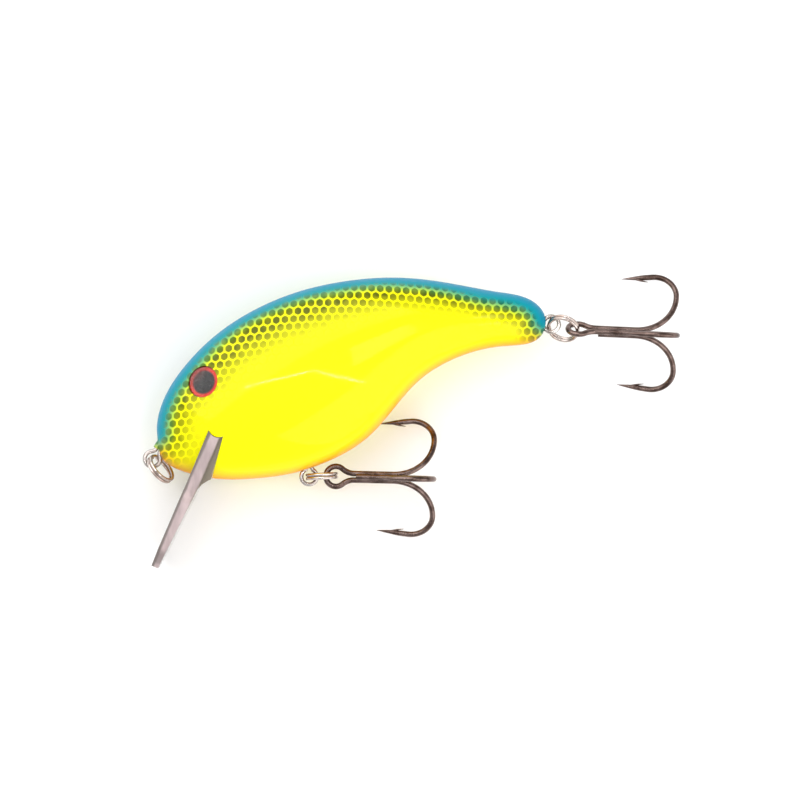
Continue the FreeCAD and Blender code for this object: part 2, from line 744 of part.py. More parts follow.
def build():
    """Every piece by name."""
    belly_ring = ring_centre(belly_eye(), BELLY_RING_ANGLE)
    tail_ring = ring_centre(tail_eye(), TAIL_RING_ANGLE)
    nose_ring = ring_centre(Vector(0, 0, 0), NOSE_RING_ANGLE)
    belly_pose = (BELLY_HOOK_LAP, belly_hook_slope(), 0)
    tail_pose = (TAIL_HOOK_LAP, TAIL_HOOK_SLOPE, TAIL_HOOK_ROLL)
    double, single = double_hook(), single_hook()
    parts = {
        "left_shell": shell_half(True),
        "right_shell": mirrored(shell_half(False)),
        "diving_lip": diving_lip(),
        "left_eye_disc": eye_disc(),
        "left_eye_dome": eye_dome(),
        "right_eye_disc": mirrored(eye_disc()),
        "right_eye_dome": mirrored(eye_dome()),
        "belly_ballast": ballast(*BELLY_BALLAST),
        "nose_ballast": ballast(*NOSE_BALLAST),
        "front_rattle_ball": loose_ball(*FRONT_BALL),
        "middle_rattle_ball": loose_ball(*MIDDLE_BALL),
        "rear_rattle_ball": loose_ball(*REAR_BALL),
        "nose_split_ring": split_ring(nose_ring, NOSE_RING_ANGLE, NOSE_RING_TILT),
        "belly_split_ring": split_ring(belly_ring, BELLY_RING_ANGLE, 0),
        "tail_split_ring": split_ring(tail_ring, TAIL_RING_ANGLE, TAIL_RING_TILT),
        "belly_double_hook": placed_hook(double, belly_ring, *belly_pose),
        "belly_single_hook": placed_hook(single, belly_ring, *belly_pose),
        "tail_double_hook": placed_hook(double, tail_ring, *tail_pose),
        "tail_single_hook": placed_hook(single, tail_ring, *tail_pose),
    }
    names = ["line_tie_wire", "belly_hanger_wire", "tail_hanger_wire"]
    for name, anchor in zip(names, wire_anchors()):
        parts[name] = anchored_eye(*anchor)
    return parts


def main():
    """Write each piece to its own file."""
    os.makedirs("parts", exist_ok=True)
    for name, shape in build().items():
        shape.exportStep("parts/" + name + ".step")
        print("%-20s solids %d volume %8.2f" % (name, len(shape.Solids), shape.Volume))


if __name__ == "__main__":
    main()
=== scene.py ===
import json
import math

import bmesh
import bpy
import numpy as np
from mathutils import Matrix, Vector


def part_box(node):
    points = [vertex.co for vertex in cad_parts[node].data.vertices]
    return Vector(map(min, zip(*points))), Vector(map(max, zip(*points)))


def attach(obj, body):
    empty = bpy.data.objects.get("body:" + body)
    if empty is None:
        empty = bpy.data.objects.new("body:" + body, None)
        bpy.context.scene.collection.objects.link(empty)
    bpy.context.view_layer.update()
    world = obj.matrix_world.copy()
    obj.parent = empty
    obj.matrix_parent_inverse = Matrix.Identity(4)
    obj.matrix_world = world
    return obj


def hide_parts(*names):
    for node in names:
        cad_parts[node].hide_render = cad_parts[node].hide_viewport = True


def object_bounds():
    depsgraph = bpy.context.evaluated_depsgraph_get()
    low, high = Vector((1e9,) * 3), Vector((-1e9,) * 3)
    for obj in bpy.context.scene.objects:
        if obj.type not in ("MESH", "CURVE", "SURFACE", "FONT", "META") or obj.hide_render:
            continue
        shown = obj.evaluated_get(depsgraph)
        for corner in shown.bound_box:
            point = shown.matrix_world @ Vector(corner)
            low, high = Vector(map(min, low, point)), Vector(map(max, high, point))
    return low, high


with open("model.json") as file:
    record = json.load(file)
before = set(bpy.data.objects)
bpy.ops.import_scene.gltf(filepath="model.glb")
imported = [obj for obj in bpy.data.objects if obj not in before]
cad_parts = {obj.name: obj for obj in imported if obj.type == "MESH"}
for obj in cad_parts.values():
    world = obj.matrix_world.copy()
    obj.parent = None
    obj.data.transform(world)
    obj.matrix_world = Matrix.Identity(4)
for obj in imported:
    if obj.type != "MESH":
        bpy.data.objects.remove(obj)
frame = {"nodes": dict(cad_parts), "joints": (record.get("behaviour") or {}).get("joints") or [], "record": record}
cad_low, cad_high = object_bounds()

# A squarebill crankbait lying on its right flank, as a painted and plated lure.
# The frame is the part's own: origin at the line-tie eye, +X from nose to tail,
# +Y from belly to back, +Z out of the left flank. Sizes below are millimetres
# and become metres through MM when a mesh is made.
MM = 0.001

# ---- body, as the shells are designed ------------------------------------------
BODY_LENGTH = 64.85
BODY_DEPTH = 33.55
BODY_THICKNESS = 17.6
NOSE = np.array([0.75, 4.5, 0.0])
NOSE_DEPTH_SHARE = 0.234
SECTION_FULLNESS = 0.10
# (back x, back y), (belly x, belly y), thickness: shares, from nose to tail
SECTIONS = [
    ((0.008, 0.347), (0.009, 0.119), 0.25),
    ((0.031, 0.449), (0.035, 0.066), 0.46),
    ((0.085, 0.592), (0.086, 0.027), 0.68),
    ((0.162, 0.732), (0.158, 0.001), 0.85),
    ((0.264, 0.854), (0.251, 0.003), 0.96),
    ((0.368, 0.934), (0.351, 0.030), 1.00),
    ((0.470, 0.979), (0.451, 0.098), 0.97),
    ((0.574, 1.000), (0.540, 0.204), 0.89),
    ((0.676, 0.994), (0.610, 0.353), 0.78),
    ((0.779, 0.964), (0.687, 0.511), 0.65),
    ((0.870, 0.932), (0.795, 0.621), 0.52),
    ((0.943, 0.905), (0.895, 0.661), 0.42),
    ((0.981, 0.860), (0.965, 0.680), 0.30),
]
TAIL_DEPTH_SHARE = 0.770
BACK_END = 0.985             # of the silhouette, where the back's blue stops at the tail
BELLY_END = 1.985            # and where the belly's orange stops at the nose
ON_SKIN = 0.03               # a vertex this near the skin belongs to it
SKIN_EDGE = 0.6              # longest edge left in the skin
PAINT_DEPTH = 0.75           # paint wraps this far into holes and slots
SOFT_ANGLE = 0.5             # radians, faces inside the shell that shade as one

# ---- paint ---------------------------------------------------------------------
# rows of the scale net follow this line, (x, y)
NET_GUIDE = [(-4.0, 22.8), (3.0, 23.6), (10.0, 24.4), (20.0, 25.55), (25.0, 25.93), (32.2, 26.03),
             (36.7, 25.9), (42.5, 25.43), (48.2, 24.7), (53.8, 23.87), (58.0, 23.62), (68.0, 23.9)]
NET_PITCH = 1.435
NET_ROW = 1.27
# depth under the back at which the net has faded out, by x
NET_FADE = [(-2.0, 6.0), (5.0, 7.4), (12.0, 9.4), (25.0, 9.2), (33.0, 8.2), (42.0, 6.4),
            (52.0, 5.6), (60.0, 6.4), (66.0, 6.4)]
# stretch of the back's colours, by x
BACK_STRETCH = [(-2.0, 1.35), (6.0, 1.3), (14.0, 1.05), (24.0, 1.0), (46.0, 1.0), (56.0, 1.35), (66.0, 1.5)]

# ---- wire, rings and hooks, as designed ------------------------------------------
RING_OUTER = 5.5
RING_WIRE = 0.55
RING_TURNS = 1.92
RING_GAP = 0.02              # between the two turns
RING_CROSSING = 140.0        # where the wire crosses, from where the ring points
HOOK_WIRE = 0.95
HOOK_EYE_OUTER = 4.3
HOOK_EYE_BEND = 3.0
SHANK_GAP = 0.14
BRAZE_GAP = 0.01
SHANK_END = 11.7
SHANK_BEND = 6.7
POINT_BEND = 3.6
POINT_LEAN = 7.0
POINT_LEG = 1.1
POINT_TAPER = 4.2
POINT_TIP = 0.03
POINT_STEPS = 16
PRONG_DROP = 30.0            # degrees that the double hook's prongs lie under its eye's plane
TUBE_SIDES = 28
RING_SIDES = 22
RING_STEPS = 230
BARB_LENGTH = 1.9
BARB_RISE = 0.42
SINGLE_START = 5.5
BELLY_HOOK = (0.2, -1.3, 0.0)        # lap past the ring's centre, slope, roll
TAIL_HOOK = (0.35, -2.5, 121.0)

# ---- lip and eyes ------------------------------------------------------------------
LIP_LEAN = 23.2
LIP_EDGE = 2.1               # thickness of the blade
LIP_TIP = 24.4               # from its highest corner down to its tip
LIP_BEVEL = 0.16
LIP_CORNER = 25.0            # degrees, edges sharper than this are bevelled
IRIS_DIAMETER = 5.3
DOME_HEIGHT = 1.05
DOME_RIM_SHARE = 0.25        # of its height
DOME_SIDES = 72
DOME_STEPS = 14

RECORD = frame["record"]
MOUNTS = {m["name"]: np.array(m["pos_m"]) / MM for m in RECORD["mounts"]}
JOINTS = {j["name"]: j for j in frame["joints"]}
COLLECTION = bpy.context.scene.collection


# ---- body surface ------------------------------------------------------------------
def outline_point(share, thickness=0.0):
    """Shares of length, depth and half thickness as a point."""
    rise = (share[1] - NOSE_DEPTH_SHARE) * BODY_DEPTH
    return NOSE + np.array([share[0] * BODY_LENGTH, rise, thickness * BODY_THICKNESS / 2])


class Silhouette:
    """Closed cubic curve over the back (0 to 1) and home under the belly (1 to 2).
    Its z is the half thickness, positive over the back and negative below."""

    def __init__(self):
        tail = outline_point((1.0, TAIL_DEPTH_SHARE))
        back = [NOSE] + [outline_point(s[0], s[2]) for s in SECTIONS] + [tail]
        belly = [NOSE] + [outline_point(s[1], -s[2]) for s in SECTIONS] + [tail]
        travel = [0.0]
        for i in range(1, len(back)):
            over = np.linalg.norm(back[i] - back[i - 1])
            under = np.linalg.norm(belly[i] - belly[i - 1])
            travel.append(travel[-1] + (over + under) / 2)
        places = [t / travel[-1] for t in travel]
        self.points = np.array(back + belly[-2:0:-1])
        self.knots = np.array(places + [2 - t for t in places[-2:0:-1]] + [2.0])
        self.bend = self.solve()

    def solve(self):
        """Second derivatives at the points of the smooth closed curve."""
        gaps = np.diff(self.knots)
        count = len(gaps)
        slope = (np.roll(self.points, -1, 0) - self.points) / gaps[:, None]
        matrix = np.zeros((count, count))
        for i in range(count):
            matrix[i, i - 1] += gaps[i - 1]
            matrix[i, i] += 2 * (gaps[i - 1] + gaps[i])
            matrix[i, (i + 1) % count] += gaps[i]
        return np.linalg.solve(matrix, 6 * (slope - np.roll(slope, 1, 0)))

    def at(self, t):
        """Points of the curve at an array of places."""
        t = np.mod(t, 2.0)
        i = np.clip(np.searchsorted(self.knots, t, side="right") - 1, 0, len(self.points) - 1)
        j = (i + 1) % len(self.points)
        gap = (self.knots[i + 1] - self.knots[i])[:, None]
        a = (self.knots[i + 1] - t)[:, None] / gap
        b = 1 - a
        straight = a * self.points[i] + b * self.points[j]
        return straight + ((a ** 3 - a) * self.bend[i] + (b ** 3 - b) * self.bend[j]) * gap ** 2 / 6


SILHOUETTE = Silhouette()


def section(t):
    """Middle, half span (x, y) and half thickness of the sections at t."""
    back = SILHOUETTE.at(t)
    belly = SILHOUETTE.at(2 - t)
    thickness = (back[:, 2] - belly[:, 2]) / 2
    return (back + belly)[:, :2] / 2, (back - belly)[:, :2] / 2, thickness


def skin_point(t, turn):
    """Left flank at t from nose to tail and turn from back (0) to belly (pi)."""
    middle, half_span, thickness = section(t)
    c, s = np.cos(turn), np.sin(turn)
    flat = middle + half_span * (c * (1 + SECTION_FULLNESS * s * s))[:, None]
    return np.column_stack([flat, thickness * s * (1 + SECTION_FULLNESS * c * c)])


def skin_place(points):
    """t and turn of points on the left flank."""
    low = np.zeros(len(points))
    high = np.ones(len(points))
    for _ in range(34):
        t = (low + high) / 2
        middle, half_span, thickness = section(t)
        gone = points[:, :2] - middle
        ahead = half_span[:, 0] * gone[:, 1] - half_span[:, 1] * gone[:, 0] < 0
        low = np.where(ahead, t, low)
        high = np.where(ahead, high, t)
    span = np.maximum(np.linalg.norm(half_span, axis=1), 1e-6)
    up = (gone * half_span).sum(1) / span ** 2
    out = points[:, 2] / np.maximum(thickness, 1e-6)
    turn = np.arctan2(np.maximum(out, 0), up)
    for _ in range(12):
        c, s = np.cos(turn), np.sin(turn)
        turn = np.arctan2(np.maximum(out, 0) / (1 + SECTION_FULLNESS * c * c),
                          up / (1 + SECTION_FULLNESS * s * s))
    return t, turn


def skin_normal(t, turn):
    """Outward normals of the left flank."""
    step = 1e-4
    t = np.clip(t, 2e-3, 1 - 2e-3)
    along = skin_point(t + step, turn) - skin_point(t - step, turn)
    around = skin_point(t, turn + step) - skin_point(t, turn - step)
    normal = -np.cross(along, around)
    return normal / np.maximum(np.linalg.norm(normal, axis=1), 1e-12)[:, None]


def distance_to_line(points, line):
    """Distance from points to a polyline, both taken in the mid-plane."""
    near = np.full(len(points), 1e9)
    for a, b in zip(line[:-1, :2], line[1:, :2]):
        edge = b - a
        share = np.clip(((points[:, :2] - a) @ edge) / (edge @ edge), 0, 1)
        gap = np.linalg.norm(points[:, :2] - a - share[:, None] * edge, axis=1)
        near = np.minimum(near, gap)
    return near


BACK_LINE = SILHOUETTE.at(np.linspace(0.0, BACK_END, 220))
BELLY_LINE = SILHOUETTE.at(np.linspace(BACK_END, BELLY_END, 220))


def paint_places(points):
    """Where points lie in the paint scheme: depth under the back, height over the belly,
    place in the scale net and how strongly it is sprayed."""
    x = points[:, 0]
    guide = np.array(NET_GUIDE)
    line = np.interp(x, guide[:, 0], guide[:, 1])
    smooth = sum(np.interp(x + d, guide[:, 0], guide[:, 1]) for d in (-3, -1.5, 0, 1.5, 3)) / 5
    line = (line + 2 * smooth) / 3
    fade = np.interp(x, *np.array(NET_FADE).T)
    stretch = np.interp(x, *np.array(BACK_STRETCH).T)
    down = distance_to_line(points, BACK_LINE)
    return {
        "down": down / stretch,
        "low": distance_to_line(points, BELLY_LINE),
        "net_x": (x - 63.8) / NET_PITCH,
        "net_y": (points[:, 1] - line) / NET_ROW,
        "net_strength": np.clip((fade - down) / (fade * 0.62), 0, 1),
        "tailward": np.clip((x - 36) / 22, 0, 1),
    }


# ---- meshes ----------------------------------------------------------------------
def new_object(name, mesh, materials, node, body):
    """Object for a finished mesh that stands for a CAD node and rides its body."""
    piece = bpy.data.objects.new(name, mesh)
    COLLECTION.objects.link(piece)
    for material in materials:
        mesh.materials.append(material)
    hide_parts(node)
    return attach(piece, body)


def merged_copy(node):
    """The CAD node's mesh with its split vertices joined, in millimetres."""
    work = bmesh.new()
    work.from_mesh(frame["nodes"][node].data)
    bmesh.ops.scale(work, vec=(1 / MM,) * 3, verts=work.verts)
    bmesh.ops.remove_doubles(work, verts=work.verts, dist=0.0005)
    return work


def coordinates(work):
    """Vertex places of a bmesh as an array."""
    work.verts.ensure_lookup_table()
    work.verts.index_update()
    return np.array([v.co for v in work.verts])


def find_skin(work, side):
    """Layer that marks with 1 the faces on the body's outer skin."""
    tag = work.faces.layers.int.new("skin")
    points = coordinates(work) * (1, 1, side)
    t, turn = skin_place(points)
    near = np.linalg.norm(skin_point(t, turn) - points, axis=1) < ON_SKIN
    normals = skin_normal(t, turn) * (1, 1, side)
    for face in work.faces:
        corners = [v.index for v in face.verts]
        if all(near[i] for i in corners):
            outward = Vector(normals[corners].sum(0)).normalized()
            face[tag] = int(face.normal.dot(outward) > 0.7)
    return tag


def refine_skin(work, tag):
    """Halve long edges inside the skin until none is longer than SKIN_EDGE."""
    for _ in range(4):
        long_edges = [e for e in work.edges if e.calc_length() > SKIN_EDGE
                      and len(e.link_faces) == 2 and all(f[tag] for f in e.link_faces)]
        if not long_edges:
            break
        bmesh.ops.subdivide_edges(work, edges=long_edges, cuts=1)
        rough = [f for f in work.faces if f[tag] and len(f.verts) > 3]
        bmesh.ops.triangulate(work, faces=rough)


def painted_shell(node, side, materials):
    """One half of the body: its outer skin smoothed onto the true surface, with the
    paint scheme's places on every vertex, and the inside left as moulded."""
    work = merged_copy(node)
    tag = find_skin(work, side)
    refine_skin(work, tag)
    points = coordinates(work) * (1, 1, side)
    t, turn = skin_place(points)
    on_surface = skin_point(t, turn)
    outward = skin_normal(t, turn)
    proud = ((points - on_surface) * outward).sum(1)
    inner = [v for v in work.verts if all(f[tag] for f in v.link_faces)]
    for vertex in inner:
        vertex.co = Vector(on_surface[vertex.index] * (1, 1, side))
        points[vertex.index] = on_surface[vertex.index]
    for face in work.faces:
        heights = [proud[v.index] for v in face.verts]
        reached = max(heights) > -0.1 and sum(heights) / len(heights) > -PAINT_DEPTH
        face.material_index = 0 if face[tag] or reached else 1
        face.smooth = True
    for edge in work.edges:
        if len(edge.link_faces) == 2:
            a, b = edge.link_faces
            even = a[tag] == b[tag] and edge.calc_face_angle(0) < SOFT_ANGLE
            edge.smooth = bool(a[tag] and b[tag]) or even
    is_skin = [bool(f[tag]) for f in work.faces]
    bmesh.ops.scale(work, vec=(MM,) * 3, verts=work.verts)
    mesh = bpy.data.meshes.new(node + "_painted")
    work.to_mesh(mesh)
    work.free()
    for name, values in paint_places(points).items():
        attribute = mesh.attributes.new(name, "FLOAT", "POINT")
        attribute.data.foreach_set("value", values.astype(np.float32))
    normals = outward * (1, 1, side)
    corner_normals = np.zeros((len(mesh.loops), 3))
    for polygon, smooth in zip(mesh.polygons, is_skin):
        if smooth:
            for loop in polygon.loop_indices:
                corner_normals[loop] = normals[mesh.loops[loop].vertex_index]
    mesh.normals_split_custom_set(corner_normals.tolist())
    return new_object(node + "_painted", mesh, materials, node, "lure_body")


def arc_points(centre, radius, start, end, x_axis, y_axis, step=4.0):
    """Points along an arc, angles in degrees, its first point left out."""
    count = max(2, int(abs(end - start) / step))
    angles = np.radians(np.linspace(start, end, count + 1)[1:])
    return [centre + (x_axis * math.cos(a) + y_axis * math.sin(a)) * radius for a in angles]


def tube_mesh(path, radii, sides=TUBE_SIDES):
    """Closed round tube in a bmesh along a path of points, with a radius at each."""
    path = np.array(path, float)
    radii = np.broadcast_to(radii, (len(path),))
    ahead = np.gradient(path, axis=0)
    ahead /= np.linalg.norm(ahead, axis=1)[:, None]
    side = Vector(ahead[0]).orthogonal().normalized()
    work = bmesh.new()
    rings = []
    for i, (place, radius) in enumerate(zip(path, radii)):
        heading = Vector(ahead[i])
        side = (side - heading * side.dot(heading)).normalized()
        up = heading.cross(side)
        ring = []
        for k in range(sides):
            a = 2 * math.pi * k / sides
            offset = side * math.cos(a) + up * math.sin(a)
            ring.append(work.verts.new(Vector(place) + offset * float(radius)))
        rings.append(ring)
    for first, second in zip(rings[:-1], rings[1:]):
        for k in range(sides):
            n = (k + 1) % sides
            work.faces.new((first[k], first[n], second[n], second[k]))
    work.faces.new(reversed(rings[0]))
    work.faces.new(rings[-1])
    for face in work.faces:
        face.smooth = len(face.verts) == 4
    return work


def as_mesh(work, name, place=Matrix.Identity(4)):
    """A bmesh in millimetres as a mesh in metres at its place."""
    bmesh.ops.transform(work, matrix=Matrix.Scale(MM, 4) @ place, verts=work.verts)
    bmesh.ops.recalc_face_normals(work, faces=work.faces)
    mesh = bpy.data.meshes.new(name)
    work.to_mesh(mesh)
    work.free()
    return mesh


def union(piece, meshes):
    """Weld closed meshes onto a piece."""
    for mesh in meshes:
        tool = bpy.data.objects.new("tool", mesh)
        COLLECTION.objects.link(tool)
        modifier = piece.modifiers.new("weld", "BOOLEAN")
        modifier.operation = "UNION"
        modifier.solver = "EXACT"
        modifier.object = tool
        bpy.context.view_layer.update()
        evaluated = piece.evaluated_get(bpy.context.evaluated_depsgraph_get())
        welded = bpy.data.meshes.new_from_object(evaluated)
        piece.modifiers.clear()
        piece.data = welded
        bpy.data.objects.remove(tool)
    return piece


# ---- hooks --------------------------------------------------------------------------
ALONG = np.array([1.0, 0.0, 0.0])
ACROSS = np.array([0.0, 1.0, 0.0])
UPWARD = np.array([0.0, 0.0, 1.0])
SHANK_OFFSET = (HOOK_WIRE + SHANK_GAP) / 2
HOOK_RADIUS = HOOK_WIRE / 2


def prong(start, out):
    """Points and radii from the shank's end round the bend to the needle point."""
    first = start + out * SHANK_BEND
    second = first + ALONG * (SHANK_BEND - POINT_BEND)
    path = arc_points(first, SHANK_BEND, -90, 0, ALONG, out, 3)
    path += arc_points(second, POINT_BEND, 0, 90 + POINT_LEAN, ALONG, out, 4)
    lean = math.radians(POINT_LEAN)
    heading = -ALONG * math.cos(lean) - out * math.sin(lean)
    base = path[-1] + heading * POINT_LEG
    radii = [HOOK_RADIUS] * len(path)
    for i in range(POINT_STEPS + 1):
        share = i / POINT_STEPS
        path.append(base + heading * POINT_TAPER * share)
        radii.append(HOOK_RADIUS * (1 - share ** 1.35) + POINT_TIP * share)
    return path, radii, base, heading


def barb(base, heading, out):
    """Sliver cut up from the point's inner side, its tip towards the bend."""
    inward = -(out - heading * heading.dot(out))
    inward = inward / np.linalg.norm(inward)
    root = base + heading * BARB_LENGTH + inward * HOOK_RADIUS * 0.15
    tip = base - heading * 0.3 + inward * (HOOK_RADIUS + BARB_RISE)
    path = []
    radii = []
    for i in range(9):
        share = i / 8
        sag = inward * 0.10 * math.sin(math.pi * share)
        path.append(root + (tip - root) * share + sag)
        radii.append(0.21 * (1 - share) ** 0.7 + 0.015)
    return tube_mesh(path, radii, 14)


def eye_and_shanks():
    """Points of the double hook's eye with both shanks, from one shank's end."""
    radius = (HOOK_EYE_OUTER - HOOK_WIRE) / 2
    centre = ALONG * (HOOK_RADIUS + radius)
    rise = math.sqrt((radius + HOOK_EYE_BEND) ** 2 - (SHANK_OFFSET + HOOK_EYE_BEND) ** 2)
    swing = math.degrees(math.atan2(SHANK_OFFSET + HOOK_EYE_BEND, rise))
    neck = centre[0] + rise
    right = centre + ALONG * rise + ACROSS * (SHANK_OFFSET + HOOK_EYE_BEND)
    left = centre + ALONG * rise - ACROSS * (SHANK_OFFSET + HOOK_EYE_BEND)
    path = [ALONG * x + ACROSS * SHANK_OFFSET for x in np.linspace(SHANK_END, neck, 14)]
    path += arc_points(right, HOOK_EYE_BEND, 180, 270 - swing, ACROSS, ALONG, 5)
    path += arc_points(centre, radius, 90 - swing, -270 + swing, ACROSS, ALONG, 5)
    path += arc_points(left, HOOK_EYE_BEND, -90 + swing, 0, ACROSS, ALONG, 5)
    path += [ALONG * x - ACROSS * SHANK_OFFSET for x in np.linspace(neck, SHANK_END, 14)[1:]]
    return path


def hook_place(joint, lap, slope, roll):
    """Matrix that hangs a hook in the ring of its joint, millimetres."""
    ring = Vector(JOINTS[joint]["pos_m"]) / MM
    a = math.radians(slope)
    start = ring + Vector((math.cos(a), math.sin(a), 0)) * lap
    turn = Matrix.Rotation(a, 4, "Z") @ Matrix.Rotation(math.radians(roll), 4, "X")
    return Matrix.Translation(start) @ turn


def double_hook(node, body, place, material):
    """Eye and two prongs of one plated wire, with cut barbs."""
    path = eye_and_shanks()
    radii = [HOOK_RADIUS] * len(path)
    barbs = []
    for side in (1, -1):
        drop = math.radians(PRONG_DROP)
        out = np.array([0, side * math.cos(drop), -math.sin(drop)])
        points, sizes, base, heading = prong(ALONG * SHANK_END + ACROSS * side * SHANK_OFFSET, out)
        barbs.append(barb(base, heading, out))
        if side == 1:
            path = points[::-1] + path
            radii = sizes[::-1] + radii
        else:
            path = path + points
            radii = radii + sizes
    mesh = as_mesh(tube_mesh(path, radii), node + "_plated", place)
    piece = new_object(node + "_plated", mesh, [], node, body)
    union(piece, [as_mesh(b, "barb", place) for b in barbs])
    finish_metal(piece, material)
    return piece


def single_hook(node, body, place, material):
    """Third prong with its cut end, and the braze that holds it to the other two."""
    lift = math.sqrt((HOOK_WIRE + BRAZE_GAP) ** 2 - SHANK_OFFSET ** 2)
    points, sizes, base, heading = prong(ALONG * SHANK_END + UPWARD * lift, UPWARD)
    shank = [ALONG * x + UPWARD * lift for x in np.linspace(SINGLE_START, SHANK_END, 14)]
    radii = [HOOK_RADIUS * 0.86] + [HOOK_RADIUS] * (len(shank) - 1)
    path = shank[:1] + [shank[0] + ALONG * 0.07] + shank[1:] + points
    radii = radii[:1] + [HOOK_RADIUS] + radii[1:] + sizes
    mesh = as_mesh(tube_mesh(path, radii), node + "_plated", place)
    piece = new_object(node + "_plated", mesh, [], node, body)
    welds = [as_mesh(barb(base, heading, UPWARD), "barb", place)]
    for side in (1, -1):
        welds.append(as_mesh(braze_bead(side, lift), "braze", place))
    union(piece, welds)
    finish_metal(piece, material)
    return piece


def braze_bead(side, lift):
    """Fillet of braze in the groove between the third wire and one of the others."""
    path = []
    radii = []
    for i in range(25):
        share = i / 24
        x = SINGLE_START + 0.5 + (SHANK_END - SINGLE_START - 0.2) * share
        wave = 0.03 * math.sin(share * 19 + side)
        path.append(np.array([x, side * (SHANK_OFFSET / 2 + 0.27), lift / 2 + 0.16]))
        radii.append((0.17 + wave) * math.sin(math.pi * min(1, 0.04 + share * 0.94)) ** 0.25)
    return tube_mesh(path, radii, 16)


def finish_metal(piece, material):
    """Plating on every face, with smooth shading that stays crisp at cut edges."""
    piece.data.materials.clear()
    piece.data.materials.append(material)
    for polygon in piece.data.polygons:
        polygon.material_index = 0
        polygon.use_smooth = True
    piece.data.set_sharp_from_angle(angle=math.radians(38))


# ---- split rings -------------------------------------------------------------------
def split_ring(node, body, centre, axis, out, material):
    """Two flat turns of wire with one short crossing between them."""
    radius = (RING_OUTER - RING_WIRE) / 2
    lift = (RING_WIRE + RING_GAP) / 2
    axis = np.array(Vector(axis).normalized())
    out = np.array(out) - axis * np.dot(out, axis)
    out = out / np.linalg.norm(out)
    side = np.cross(axis, out)
    lap = 360 * (RING_TURNS - 1)
    start = RING_CROSSING - (360 - lap) / 2 - lap
    turns = 360 + lap
    path = []
    radii = []
    for angle in np.linspace(0, turns, RING_STEPS):
        share = np.clip((angle - lap) / (360 - lap), 0, 1)
        rise = 2 * share * share * (3 - 2 * share) - 1
        a = math.radians(start + angle)
        path.append(centre + (out * math.cos(a) + side * math.sin(a)) * radius + axis * lift * rise)
        nearest_end = min(angle, turns - angle)
        radii.append(RING_WIRE / 2 * (0.88 + 0.12 * min(1, nearest_end / 3)))
    mesh = as_mesh(tube_mesh(path, radii, RING_SIDES), node + "_plated")
    piece = new_object(node + "_plated", mesh, [], node, body)
    finish_metal(piece, material)
    return piece


# ---- eye domes ---------------------------------------------------------------------
def eye_dome(node, disc, material):
    """Clear cap over an eye disc: a lathed lens with a rounded rim."""
    side = 1 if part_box(disc)[0].z > 0 else -1
    points = np.array([v.co for v in frame["nodes"][node].data.vertices]) / MM
    middle = points.mean(0)
    thinnest = np.linalg.svd(points - middle)[2][2]
    normal = thinnest * (1 if thinnest[2] * side > 0 else -1)
    reach = (points - middle) @ normal
    centre = points[reach < reach.min() + 0.02].mean(0)
    radius = IRIS_DIAMETER / 2
    rim = DOME_HEIGHT * DOME_RIM_SHARE
    cap = DOME_HEIGHT - rim
    sphere = (radius ** 2 + cap ** 2) / (2 * cap)
    edge = math.asin(radius / sphere)
    profile = [(radius * 0.985, 0.0), (radius, 0.04), (radius, rim * 0.8)]
    for i in range(1, DOME_STEPS + 1):
        a = edge * (1 - i / DOME_STEPS)
        profile.append((sphere * math.sin(a), DOME_HEIGHT - sphere * (1 - math.cos(a))))
    turn = Vector((0, 0, 1)).rotation_difference(Vector(normal)).to_matrix().to_4x4()
    place = Matrix.Translation(Vector(centre)) @ turn
    work = bmesh.new()
    rings = []
    for r, h in profile[:-1]:
        angles = [2 * math.pi * k / DOME_SIDES for k in range(DOME_SIDES)]
        rings.append([work.verts.new((r * math.cos(a), r * math.sin(a), h)) for a in angles])
    for first, second in zip(rings[:-1], rings[1:]):
        for k in range(DOME_SIDES):
            n = (k + 1) % DOME_SIDES
            work.faces.new((first[k], first[n], second[n], second[k]))
    work.faces.new(reversed(rings[0]))
    peak = work.verts.new((0, 0, profile[-1][1]))
    for k in range(DOME_SIDES):
        work.faces.new((rings[-1][k], rings[-1][(k + 1) % DOME_SIDES], peak))
    mesh = as_mesh(work, node + "_cast", place)
    for polygon in mesh.polygons:
        polygon.use_smooth = True
    mesh.set_sharp_from_angle(angle=math.radians(35))
    return new_object(node + "_cast", mesh, [material], node, "lure_body")


# ---- lip -----------------------------------------------------------------------------
def lip_place():
    """The lip's highest front corner and its directions down and through the blade."""
    a = math.radians(LIP_LEAN)
    down = Vector((-math.sin(a), -math.cos(a), 0))
    through = Vector((math.cos(a), -math.sin(a), 0))
    points = [v.co / MM for v in frame["nodes"]["diving_lip"].data.vertices]
    start = min(p.dot(down) for p in points)
    front = min(p.dot(through) for p in points)
    return down * start + through * front, down, through


def clear_lip(materials):
    """The moulded blade with softened edges: clear faces, frosted edges."""
    work = merged_copy("diving_lip")
    bmesh.ops.dissolve_limit(work, angle_limit=math.radians(1), verts=work.verts, edges=work.edges)
    corner = math.radians(LIP_CORNER)
    sharp = [e for e in work.edges if len(e.link_faces) == 2 and e.calc_face_angle(0) > corner]
    bmesh.ops.bevel(work, geom=sharp, offset=LIP_BEVEL, segments=3, affect="EDGES", profile=0.5,
                    clamp_overlap=True)
    through = lip_place()[2]
    for face in work.faces:
        face.smooth = True
        face.material_index = 0 if abs(face.normal.dot(through)) > 0.9 else 1
    mesh = as_mesh(work, "diving_lip_moulded")
    mesh.set_sharp_from_angle(angle=math.radians(30))
    return new_object("diving_lip_moulded", mesh, materials, "diving_lip", "lure_body")


# ---- materials -------------------------------------------------------------------------
def linear(red, green, blue):
    """A colour given as 0 to 255 display values, as the linear colour a shader wants."""
    def one(value):
        v = value / 255
        return v / 12.92 if v <= 0.04045 else ((v + 0.055) / 1.055) ** 2.4
    return (one(red), one(green), one(blue), 1.0)


